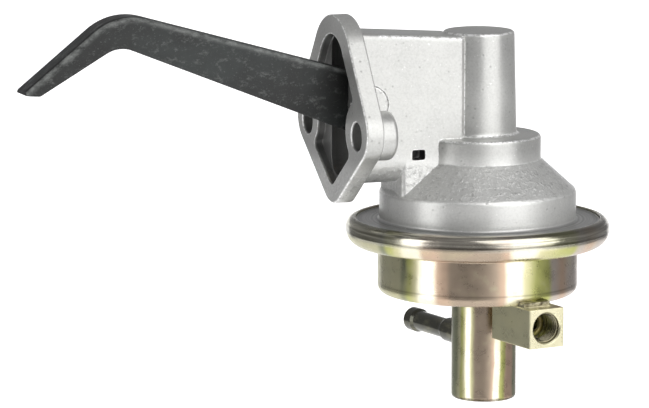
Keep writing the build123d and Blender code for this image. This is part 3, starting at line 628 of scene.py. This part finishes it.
def cast_aluminium(name, look):
    """Cloudy, fine-grained cast skin with small pits and bright chips, roughest on the cone."""
    made = Recipe(name)
    cloud = made.noise(0.022, detail=4)
    speck = made.noise(look.grain, detail=2, rough=0.6)
    pit = made.spread(made.cells(look.pits), 0.05, 0.16)
    rough_cone = made.level(look.cone_low, look.cone_high, 0.001)
    blot = made.spread(made.noise(0.0022, detail=4, rough=0.7), 0.5, 0.66)
    blot = made.math("MULTIPLY", blot, rough_cone)
    glint = made.noise(0.0011, detail=3, rough=0.7)
    chip = made.spread(glint, 0.64, 0.74)
    chip = made.math("MAXIMUM", chip, made.math("MULTIPLY", made.spread(glint, 0.55, 0.66), rough_cone))
    shaded_inside = inside_casting(made, look)
    tone = made.mix(made.spread(cloud, 0.35, 0.65), look.shade, look.colour)
    # Painted light: paler skin between the ledge and the lit_skirt height.
    tone = made.mix(made.level(look.ledge, look.lit_skirt, 0.002), tone, made.mix(0.3, tone, SKIRT_PAINTED_LIGHT))
    tone = made.mix(made.spread(speck, 0.3, 0.75, 0, 0.2), tone, PALE_GRAIN)
    tone = made.mix(made.spread(speck, 0.36, 0.52, 0.12, 0), tone, DARK_GRAIN)
    tone = made.mix(made.spread(pit, 0, 1, 0.4, 0), tone, PIT_TONE)
    tone = made.mix(made.math("MULTIPLY", blot, 0.45), tone, BLOT_TONE)
    ring = made.spread(made.rings(PUMP_AXIS, 0.0009), 0.4, 0.6, 0.4, 0.85)
    ledge = made.level(look.ledge - 0.02, look.ledge, 0.0003)
    tone = made.mix(made.math("MULTIPLY", ledge, ring), tone, RING_TONE)
    tone = made.mix(made.math("MULTIPLY", chip, 0.7), tone, CHIP_TONE)
    # Pale patches on edges and on rounds that look up: partly wear, partly painted highlight.
    tone = made.mix(made.math("MULTIPLY", worn_and_highlit_edges(made, look), 0.85), tone, WORN_AND_HIGHLIGHT_TONE)
    # Painted shade inside the mouth, the rocker box and the bolt holes, fading to the pale depth tone deep in the
    # box, and darker painted shade in the breather slot.
    inner = made.mix(made.spread(made.part_of(made.place, "X"), 0.006, 0.016), look.painted_shade, look.depth)
    tone = made.mix(shaded_inside, tone, inner)
    tone = made.mix(breather_slot(made, look), tone, scaled(look.painted_shade, look.slot_tone))
    made.paint(tone)
    made.gloss(made.spread(cloud, 0.3, 0.7, look.roughness - 0.06, look.roughness + 0.08))
    made.set(metallic=look.metal)
    made.relief([(speck, 0.25, 0.00012), (pit, 0.35, 0.0002), (blot, 0.5, 0.0003)], edge=0.0005)
    return made.material


def black_phosphate(name, look):
    """Black conversion coat with a faint bloom, pale scuffs and a painted highlight along the rounded folds."""
    made = Recipe(name)
    cloud = made.noise(0.03, detail=3)
    grain = made.noise(0.0008, detail=3, rough=0.65)
    scuff_and_highlight = made.noise(0.0036, detail=6, rough=0.78, stretch=(0.6, 1, 1))
    # Painted highlight along the rounded folds, where the normal turns between top and side, broken up by the
    # scuff noise.
    sideways = made.math("ABSOLUTE", made.part_of(made.normal, "Y"))
    rounding = made.between(sideways, 0.45, 0.9, 0.1)
    ridge_highlight = made.math("MULTIPLY", rounding, made.spread(scuff_and_highlight, 0.36, 0.6, 0.15, 1))
    tone = made.mix(made.spread(cloud, 0.4, 0.62), look.colour, look.bloom)
    tone = made.mix(made.spread(scuff_and_highlight, 0.54, 0.7, 0, 0.6), tone, look.scuff_and_highlight)
    tone = made.mix(made.math("MULTIPLY", ridge_highlight, 0.8), tone, scaled(look.scuff_and_highlight, 1.7))
    tone = made.mix(made.spread(grain, 0.62, 0.75, 0, 0.5), tone, look.scuff_and_highlight)
    made.paint(tone)
    made.gloss(made.spread(scuff_and_highlight, 0.3, 0.75, look.roughness + 0.06, look.roughness - 0.1))
    made.set(metallic=0.1, specular_ior_level=0.3)
    made.relief([(grain, 0.35, 0.00012), (scuff_and_highlight, 0.25, 0.0003)], edge=0.0004)
    return made.material


def passivate_and_reflection_bands(made, look, axis, bands, sway, wander):
    """Upright bands of passivate colour and painted reflection round an axis, as (azimuth from the outlet side,
    tone).
    """
    around = made.add("ShaderNodeTexGradient", gradient_type="RADIAL")
    made.link(made.mapped(centre=(axis.x, axis.y, 0)), around.inputs["Vector"])
    shift = made.spread(made.noise(sway, detail=3, stretch=(1, 1, 0.5)), 0.2, 0.8, -wander, wander)
    ramp = made.add("ShaderNodeValToRGB")
    ramp.color_ramp.interpolation = "EASE"
    made.link(made.math("ADD", around.outputs["Fac"], shift), ramp.inputs["Fac"])
    places = sorted((((azimuth + 90) % 360) / 360, tone) for azimuth, tone in bands)
    stops = ramp.color_ramp.elements
    stops.remove(stops[1])
    for index, (place, tone) in enumerate(places):
        stop = stops.new(place) if index else stops[0]
        stop.position = place
        stop.color = (*getattr(look, tone), 1)
    return ramp.outputs["Color"]


def yellow_zinc(name, look, axis, bands, sway=0.02, wander=0.012,
                rubbed=None, darkened=None, dark_reflection=None, painted_shade=None):
    """Passivated zinc plate, banded round an axis with its own tones and painted reflections, and stained all
    over.

    It is rubbed, darkened, and given a painted dark reflection line, each between two heights. The painted_shade
    argument is the middle and the reach of a ball inside which shade is painted on the plate.
    """
    made = Recipe(name)
    tone = passivate_and_reflection_bands(made, look, axis, bands, sway, wander)
    patch = made.noise(sway, detail=3, centre=(0.05, 0.02, 0.03))
    tone = made.mix(made.spread(patch, 0.52, 0.72, 0, 0.45), tone, look.gold)
    if rubbed:
        low, high = rubbed
        turning = made.spread(made.noise(0.0016, detail=3, stretch=(0.03, 0.03, 1)), 0.38, 0.62)
        silver = made.mix(turning, look.silver, scaled(look.silver, 0.18))
        lathed = made.level(low, high, 0.0008)
        tone = made.mix(made.math("MULTIPLY", lathed, 0.75), tone, silver)
    stain = made.noise(0.006, detail=5, rough=0.65)
    tone = made.mix(made.spread(stain, 0.6, 0.78, 0, 0.5), tone, look.olive)
    # Patchy darkening between two heights.
    if darkened:
        dirt = made.spread(made.noise(0.003, detail=5, rough=0.7), 0.35, 0.6, 0.3, 1)
        tone = made.mix(made.math("MULTIPLY", made.level(*darkened, 0.0003), dirt), tone, look.dark_brown)
    # Painted dark reflection: a thin dark line between two heights.
    if dark_reflection:
        tone = made.mix(made.math("MULTIPLY", made.level(*dark_reflection, 0.0003), 0.4), tone, look.dark_brown)
    # Painted shade inside the outlet port.
    if painted_shade:
        tone = made.mix(made.math("MULTIPLY", made.near(*painted_shade, 0.0002), 0.65), tone, look.dark_brown)
    speck = made.spread(made.cells(0.0026), 0.04, 0.12)
    tone = made.mix(made.spread(speck, 0, 1, 0.45, 0), tone, SPECK_TONE)
    fine = made.noise(0.0005, detail=2, stretch=(1, 1, 4))
    layers = [(fine, 0.1, 0.00004), (speck, 0.15, 0.00008)]
    made.paint(tone)
    rough = made.spread(stain, 0.3, 0.75, look.roughness - 0.04, look.roughness + 0.12)
    if rubbed:
        rough = made.math("SUBTRACT", rough, made.math("MULTIPLY", lathed, 0.1))
        layers.append((made.math("MULTIPLY", turning, lathed), 0.3, 0.0001))
    made.gloss(rough)
    made.set(metallic=1.0)
    made.relief(layers, edge=0.0003)
    return made.material


def dark_zinc(name, look):
    """The thick, dark olive passivate of the nipple."""
    made = Recipe(name)
    stain = made.noise(0.004, detail=5, rough=0.65, stretch=(1, 0.5, 1))
    made.paint(made.mix(made.spread(stain, 0.5, 0.8, 0, 0.5), look.dark, look.olive))
    made.gloss(made.spread(stain, 0.3, 0.7, 0.14, 0.26))
    made.set(metallic=0.85)
    made.relief([(stain, 0.12, 0.00008)], edge=0.0003)
    return made.material


def plain_metal(name, colour, roughness, mark):
    """A worked metal with faint marks of that size."""
    made = Recipe(name)
    scratch = made.noise(mark, detail=4, rough=0.6)
    made.paint(made.mix(made.spread(scratch, 0.35, 0.7), colour, scaled(colour, 0.72)))
    made.gloss(made.spread(scratch, 0.3, 0.7, roughness - 0.05, roughness + 0.1))
    made.set(metallic=1.0)
    made.relief([(scratch, 0.12, 0.00006)], edge=0.0002)
    return made.material


def moulded_rubber(name, colour, weave=0.0):
    """Dull rubber, with the print of its fabric where it has one."""
    made = Recipe(name)
    dust = made.noise(0.003, detail=4)
    made.paint(made.mix(made.spread(dust, 0.4, 0.75), colour, scaled(colour, 2.2)))
    made.gloss(made.spread(dust, 0.3, 0.7, 0.6, 0.78))
    layers = [(dust, 0.15, 0.00005)]
    if weave:
        for turn in ("X", "Y"):
            threads = made.add("ShaderNodeTexWave", wave_type="BANDS", bands_direction=turn)
            threads.inputs["Scale"].default_value = 1 / weave
            made.link(made.place, threads.inputs["Vector"])
            layers.append((threads.outputs["Fac"], 0.2, 0.00005))
    made.relief(layers)
    return made.material


# Mesh building blocks

def piece_from(shape, name, material, body):
    """A finished piece from a bmesh, riding on its body if it has one."""
    mesh = bpy.data.meshes.new(name)
    shape.to_mesh(mesh)
    shape.free()
    for face in mesh.polygons:
        face.use_smooth = True
    mesh.materials.append(material)
    made = bpy.data.objects.new(name, mesh)
    bpy.context.scene.collection.objects.link(made)
    if body:
        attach(made, body)
    return made


def tidy(shape, merge=1e-7):
    """Merge doubles and turn every face outwards."""
    bmesh.ops.remove_doubles(shape, verts=shape.verts, dist=merge)
    bmesh.ops.recalc_face_normals(shape, faces=shape.faces)


def outline(shape, points):
    """Verts and edges of a closed outline, ready to be spun."""
    verts = [shape.verts.new(point) for point in points]
    return verts + [shape.edges.new(pair) for pair in zip(verts, verts[1:] + verts[:1])]


def coil_mesh(centre, radius, wire, turns, foot, top, segments=16, steps=40):
    """A compression coil with round ends that stands from foot to top round centre."""
    shape = bmesh.new()
    rise = top - foot - wire
    start = Vector((centre.x + radius, centre.y, foot + wire / 2))
    slope = Matrix.Rotation(pi / 2, 4, "X")
    ring = bmesh.ops.create_circle(
        shape, cap_ends=False, segments=segments, radius=wire / 2,
        matrix=Matrix.Translation(start) @ slope)
    edges = list({e for v in ring["verts"] for e in v.link_edges})
    bmesh.ops.spin(
        shape, geom=edges, cent=(centre.x, centre.y, 0), axis=(0, 0, 1),
        dvec=(0, 0, rise / (turns * steps)), angle=2 * pi * turns, steps=turns * steps,
        use_merge=False, use_duplicate=False)
    loose = [e for e in shape.edges if e.is_boundary]
    bmesh.ops.holes_fill(shape, edges=loose, sides=segments)
    tidy(shape)
    return shape


def turned_mesh(points, centre, steps=160):
    """A closed outline of (radius, z) points spun round an upright axis."""
    shape = bmesh.new()
    bmesh.ops.spin(
        shape, geom=outline(shape, [(centre.x + r, centre.y, z) for r, z in points]),
        cent=(centre.x, centre.y, 0), axis=(0, 0, 1),
        angle=2 * pi, steps=steps, use_merge=True, use_duplicate=False)
    tidy(shape)
    return shape


def thread_mesh(bore, turns, pitch, depth, crest, run_out, steps):
    """An inner thread that stands in an upright bore from the origin on and fades out at both ends."""
    shape = bmesh.new()
    half = pitch / 2
    foot = half * 0.8
    inner = bore - depth
    profile = [(bore, 0, -foot), (inner, 0, -crest / 2), (inner, 0, crest / 2), (bore, 0, foot)]
    bmesh.ops.spin(
        shape, geom=outline(shape, profile), cent=(0, 0, 0), axis=(0, 0, 1), dvec=(0, 0, pitch / steps),
        angle=2 * pi * turns, steps=turns * steps, use_merge=False, use_duplicate=False)
    loose = [e for e in shape.edges if e.is_boundary]
    bmesh.ops.holes_fill(shape, edges=loose, sides=len(profile))
    tidy(shape)
    top = turns * pitch + half
    for vert in shape.verts:
        from_foot = max(0, vert.co.z + half)
        from_top = max(0, top - vert.co.z)
        fade = min(1, from_foot / run_out, from_top / run_out)
        reach = vert.co.xy.length
        keep = (bore - (bore - reach) * fade) / reach
        vert.co.x *= keep
        vert.co.y *= keep
    return shape


def wave_between(start, end, count):
    """Points of half a cosine wave from start to end, without its first point."""
    points = []
    for step in range(1, count + 1):
        share = step / count
        ease = (1 - cos(pi * share)) / 2
        points.append((start[0] + (end[0] - start[0]) * share, start[1] + (end[1] - start[1]) * ease))
    return points


# Studio building blocks

def stage_plane(name, material, place, turn, width, depth):
    """A plain rectangle of the set."""
    shape = bmesh.new()
    bmesh.ops.create_grid(shape, x_segments=1, y_segments=1, size=0.5)
    mesh = bpy.data.meshes.new(name)
    shape.to_mesh(mesh)
    shape.free()
    mesh.materials.append(material)
    made = bpy.data.objects.new(name, mesh)
    made.location = place
    made.rotation_euler = turn
    made.scale = (width, depth, 1)
    bpy.context.scene.collection.objects.link(made)
    return made


def studio_white(look):
    """White paper that shows plain white, and keeps the shadows that fall on it."""
    made = Recipe("studio_white")
    paper = made.add("ShaderNodeBsdfDiffuse")
    paper.inputs["Color"].default_value = (*look.floor, 1)
    glow = made.add("ShaderNodeEmission")
    path = made.add("ShaderNodeLightPath")
    seen = made.math("MAXIMUM", path.outputs["Is Camera Ray"], path.outputs["Is Glossy Ray"])
    seen = made.math("MAXIMUM", seen, path.outputs["Is Transmission Ray"])
    made.link(made.math("MULTIPLY", seen, look.glow), glow.inputs["Strength"])
    both = made.add("ShaderNodeAddShader")
    made.link(paper.outputs["BSDF"], both.inputs[0])
    made.link(glow.outputs["Emission"], both.inputs[1])
    made.link(both.outputs["Shader"], made.output.inputs["Surface"])
    made.tree.nodes.remove(made.shader)
    return made.material


def lamp(name, power, target, size, azimuth, elevation, distance):
    """A soft rectangular lamp that faces the target."""
    data = bpy.data.lights.new(name, "AREA")
    data.energy = power
    data.shape = "RECTANGLE"
    data.size, data.size_y = size
    made = bpy.data.objects.new(name, data)
    a, e = radians(azimuth), radians(elevation)
    away = Vector((sin(a) * cos(e), -cos(a) * cos(e), sin(e)))
    made.location = target + away * distance
    made.rotation_mode = "QUATERNION"
    made.rotation_quaternion = (-away).to_track_quat("-Z", "Y")
    bpy.context.scene.collection.objects.link(made)


def surround(look):
    """The dim, even studio behind the lamps."""
    world = bpy.data.worlds.new("surround")
    world.use_nodes = True
    background = world.node_tree.nodes["Background"]
    background.inputs["Color"].default_value = (*look.surround, 1)
    background.inputs["Strength"].default_value = 1.0
    bpy.context.scene.world = world


# Operators

class PUMP_OT_finish_casting(bpy.types.Operator):
    """Give the casting and the pivot caps their cast skin"""

    bl_idname = "fuel_pump.finish_casting"
    bl_label = "Finish casting"

    def execute(self, context):
        look = context.scene.pump_casting
        give(cast_aluminium("cast_skin", look), "rocker_housing")
        give(cast_aluminium("cap_skin", look), "pivot_cap_near", "pivot_cap_far")
        return {"FINISHED"}


class PUMP_OT_finish_arm(bpy.types.Operator):
    """Give the rocker arm its black coat"""

    bl_idname = "fuel_pump.finish_arm"
    bl_label = "Finish rocker arm"

    def execute(self, context):
        give(black_phosphate("arm_coat", context.scene.pump_arm), "rocker_arm")
        return {"FINISHED"}


class PUMP_OT_finish_plate(bpy.types.Operator):
    """Give the bowl, the can, the outlet block and the nipple their zinc plate"""

    bl_idname = "fuel_pump.finish_plate"
    bl_label = "Finish zinc plate"

    def execute(self, context):
        look = context.scene.pump_zinc
        low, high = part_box("lower_bowl")
        rim = high.z - look.rubbed, high.z + MM
        # Height of the painted dark reflection line over the bowl's foot
        fold = low.z + look.dark_reflection
        dark_reflection = fold - 0.3 * MM, fold + 0.3 * MM
        bowl = yellow_zinc("bowl_plate", look, PUMP_AXIS, BOWL_TONES_AND_REFLECTIONS, rubbed=rim, dark_reflection=dark_reflection)
        give(bowl, "lower_bowl")
        # The can darker towards its foot.
        foot = FOOT_Z - MM, FOOT_Z + look.foot
        can = yellow_zinc("can_plate", look, CAN_AXIS, CAN_TONES_AND_REFLECTIONS, sway=0.012, darkened=foot)
        give(can, "inlet_can")
        # The outlet block darker just over the can's top.
        block_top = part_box("inlet_can")[1].z
        saddle = block_top + 0.1 * MM, block_top + 10 * MM
        block = yellow_zinc(
            "block_plate", look, node_centre("outlet_block"), BLOCK_TONES_AND_REFLECTIONS,
            wander=0.004, darkened=saddle, painted_shade=port_ball())
        give(block, "outlet_block")
        give(dark_zinc("nipple_plate", look), "inlet_nipple")
        return {"FINISHED"}


class PUMP_OT_finish_inside(bpy.types.Operator):
    """Give the inner steel, brass, bronze and rubber pieces their finishes"""

    bl_idname = "fuel_pump.finish_inside"
    bl_label = "Finish inner pieces"

    def execute(self, context):
        steel = plain_metal("turned_steel", (0.56, 0.56, 0.55), 0.3, 0.002)
        give(steel, "pivot_pin", "thrust_washer_near", "thrust_washer_far", "pull_rod",
             "return_spring_seat", "seal_retainer", "upper_plate", "lower_plate", "plate_washer", "rod_nut",
             "valve_carrier")
        give(plain_metal("bushing_metal", (0.62, 0.44, 0.24), 0.35, 0.0015), "pivot_bushing")
        brass = plain_metal("valve_metal", (0.78, 0.62, 0.30), 0.28, 0.0015)
        give(brass, *(f"{side}_valve_{part}" for side in ("inlet", "outlet") for part in ("seat", "cage")))
        rubber = moulded_rubber("seal_skin", (0.025, 0.025, 0.026))
        give(rubber, "rod_seal", "carrier_gasket", "inlet_valve_disc", "outlet_valve_disc")
        return {"FINISHED"}


class PUMP_OT_coil_springs(bpy.types.Operator):
    """Wind the four springs, three of them riding on the pump body"""

    bl_idname = "fuel_pump.coil_springs"
    bl_label = "Coil springs"

    def execute(self, context):
        sizes = context.scene.pump_coils
        wire = plain_metal("spring_wire", (0.42, 0.42, 0.43), 0.32, 0.001)
        lift = joint("rod_lift")["range_m"][1]
        opened = joint("inlet_valve_lift")["range_m"][1]
        rows = [
            ("return_spring", sizes.return_wire, sizes.return_turns, None, 0, True),
            ("diaphragm_spring", sizes.diaphragm_wire, sizes.diaphragm_turns, "rod_lift", lift, True),
            ("inlet_valve_spring", sizes.valve_wire, sizes.valve_turns, "inlet_valve_lift", opened, True),
            ("outlet_valve_spring", sizes.valve_wire, sizes.valve_turns, "outlet_valve_lift", opened, False),
        ]
        for node, thickness, turns, joint_name, travel, hangs in rows:
            low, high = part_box(node)
            centre = (low + high) / 2
            radius = (high.x - low.x - thickness) / 2
            shape = coil_mesh(centre, radius, thickness, turns, low.z, high.z)
            body = "pump_body" if joint_name else None
            made = piece_from(shape, node + "_coil", wire, body)
            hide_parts(node)
            if joint_name:
                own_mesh(made)
            else:
                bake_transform(made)
        return {"FINISHED"}


class PUMP_OT_diaphragm(bpy.types.Operator):
    """Mould the diaphragm, its rim held in the clamp"""

    bl_idname = "fuel_pump.diaphragm"
    bl_label = "Diaphragm"

    def execute(self, context):
        sizes = context.scene.pump_diaphragm
        low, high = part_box("diaphragm")
        plate_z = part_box("upper_plate")[0].z
        rim_z = high.z
        middle_radius = sizes.clamp_inner - 2 * sizes.fold_width
        outer = (high.x - low.x) / 2
        valley = sizes.clamp_inner - sizes.fold_width
        lowest = plate_z - sizes.fold_depth
        upper = [(sizes.bore, plate_z), (middle_radius, plate_z)]
        upper += wave_between((middle_radius, plate_z), (valley, lowest), 8)
        upper += wave_between((valley, lowest), (sizes.clamp_inner, rim_z), 10)
        upper += [(outer, rim_z)]
        lower = [(r, z - sizes.thickness) for r, z in reversed(upper)]
        shape = turned_mesh(upper + lower, PUMP_AXIS)
        rubber = moulded_rubber("diaphragm_skin", (0.05, 0.047, 0.04), weave=0.0006)
        made = piece_from(shape, "diaphragm_sheet", rubber, None)
        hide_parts("diaphragm")
        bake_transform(made)
        return {"FINISHED"}


class PUMP_OT_port_thread(bpy.types.Operator):
    """Cut the thread inside the outlet port"""

    bl_idname = "fuel_pump.port_thread"
    bl_label = "Port thread"

    def execute(self, context):
        sizes = context.scene.pump_thread
        port = mount("outlet_port")
        bore = port["dims"]["r_mm"] * MM
        length = port["dims"]["length_mm"] * MM
        turns = int(length / sizes.pitch) - 1
        shape = thread_mesh(
            bore, turns, sizes.pitch, sizes.depth, sizes.crest, sizes.run_out, sizes.steps)
        axis = Vector(port["axis"])
        turn = axis.to_track_quat("-Z", "Y").to_matrix().to_4x4()
        start = Vector(port["pos_m"]) - axis * (sizes.pitch / 2)
        bmesh.ops.transform(shape, matrix=Matrix.Translation(start) @ turn, verts=shape.verts)
        # The thread's plate, with painted shade in the port.
        material = yellow_zinc(
            "thread_plate", context.scene.pump_zinc, node_centre("outlet_block"), BLOCK_TONES_AND_REFLECTIONS,
            painted_shade=port_ball())
        piece_from(shape, "port_thread", material, "pump_body")
        return {"FINISHED"}


class PUMP_OT_studio(bpy.types.Operator):
    """Set up floor, backdrop, lamps and camera"""

    bl_idname = "fuel_pump.studio"
    bl_label = "Studio"

    def execute(self, context):
        look = context.scene.pump_studio
        scene = context.scene
        scene.view_settings.view_transform = "Standard"
        white = studio_white(look)
        floor_z = FOOT_Z - look.drop
        floor = stage_plane(
            "floor", white, (0, 0, floor_z), (0, 0, VIEW_TURN), FLOOR_WIDTH, FLOOR_WIDTH)
        backdrop = stage_plane(
            "backdrop", white, (*BACKDROP_PLACE, floor_z + BACKDROP_HEIGHT / 2), (pi / 2, 0, VIEW_TURN),
            BACKDROP_WIDTH, BACKDROP_HEIGHT)
        target = (CAD_BOX[0] + CAD_BOX[1]) / 2
        lamp("key_lamp", look.key_power, target, size=(1.3, 1.75), azimuth=22, elevation=26, distance=1.15)
        lamp("side_lamp", look.side_power, target, size=(0.4, 1.0), azimuth=-80, elevation=8, distance=1.0)
        surround(look)
        camera_data = bpy.data.cameras.new("camera")
        camera_data.lens = CAMERA_LENS
        camera_data.sensor_width = CAMERA_SENSOR
        camera_data.clip_start = 0.05
        camera_data.clip_end = 20
        camera = bpy.data.objects.new("camera", camera_data)
        camera.location = CAMERA_PLACE
        camera.rotation_euler = (VIEW_TILT, 0, VIEW_TURN)
        scene.collection.objects.link(camera)
        scene.camera = camera
        return {"FINISHED"}


# Panel and registration

class PUMP_PT_panel(bpy.types.Panel):
    """The pump's pieces and the studio"""

    bl_label = "Fuel pump"
    bl_idname = "PUMP_PT_panel"
    bl_space_type = "VIEW_3D"
    bl_region_type = "UI"
    bl_category = "Fuel pump"

    def draw(self, context):
        for operator in OPERATORS:
            self.layout.operator(operator.bl_idname)
        for name in GROUPS:
            box = self.layout.box()
            group = getattr(context.scene, name)
            for key in group.bl_rna.properties.keys():
                if key not in ("rna_type", "name"):
                    box.prop(group, key)


GROUPS = {
    "pump_casting": CastingLook,
    "pump_arm": ArmLook,
    "pump_zinc": ZincLook,
    "pump_thread": ThreadSizes,
    "pump_coils": CoilSizes,
    "pump_diaphragm": DiaphragmSizes,
    "pump_studio": StudioLook,
}

OPERATORS = (
    PUMP_OT_finish_casting,
    PUMP_OT_finish_arm,
    PUMP_OT_finish_plate,
    PUMP_OT_finish_inside,
    PUMP_OT_coil_springs,
    PUMP_OT_diaphragm,
    PUMP_OT_port_thread,
    PUMP_OT_studio,
)


def register():
    """Register every class and hang the property groups on the scene."""
    for name, group in GROUPS.items():
        bpy.utils.register_class(group)
        setattr(bpy.types.Scene, name, PointerProperty(type=group))
    for kind in (*OPERATORS, PUMP_PT_panel):
        bpy.utils.register_class(kind)


def unregister():
    """Take all of it away again."""
    for kind in reversed((*OPERATORS, PUMP_PT_panel)):
        bpy.utils.unregister_class(kind)
    for name, group in reversed(GROUPS.items()):
        delattr(bpy.types.Scene, name)
        bpy.utils.unregister_class(group)


def main():
    """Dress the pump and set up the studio."""
    register()
    for operator in OPERATORS:
        family, action = operator.bl_idname.split(".")
        getattr(getattr(bpy.ops, family), action)()


if __name__ == "__main__":
    main()
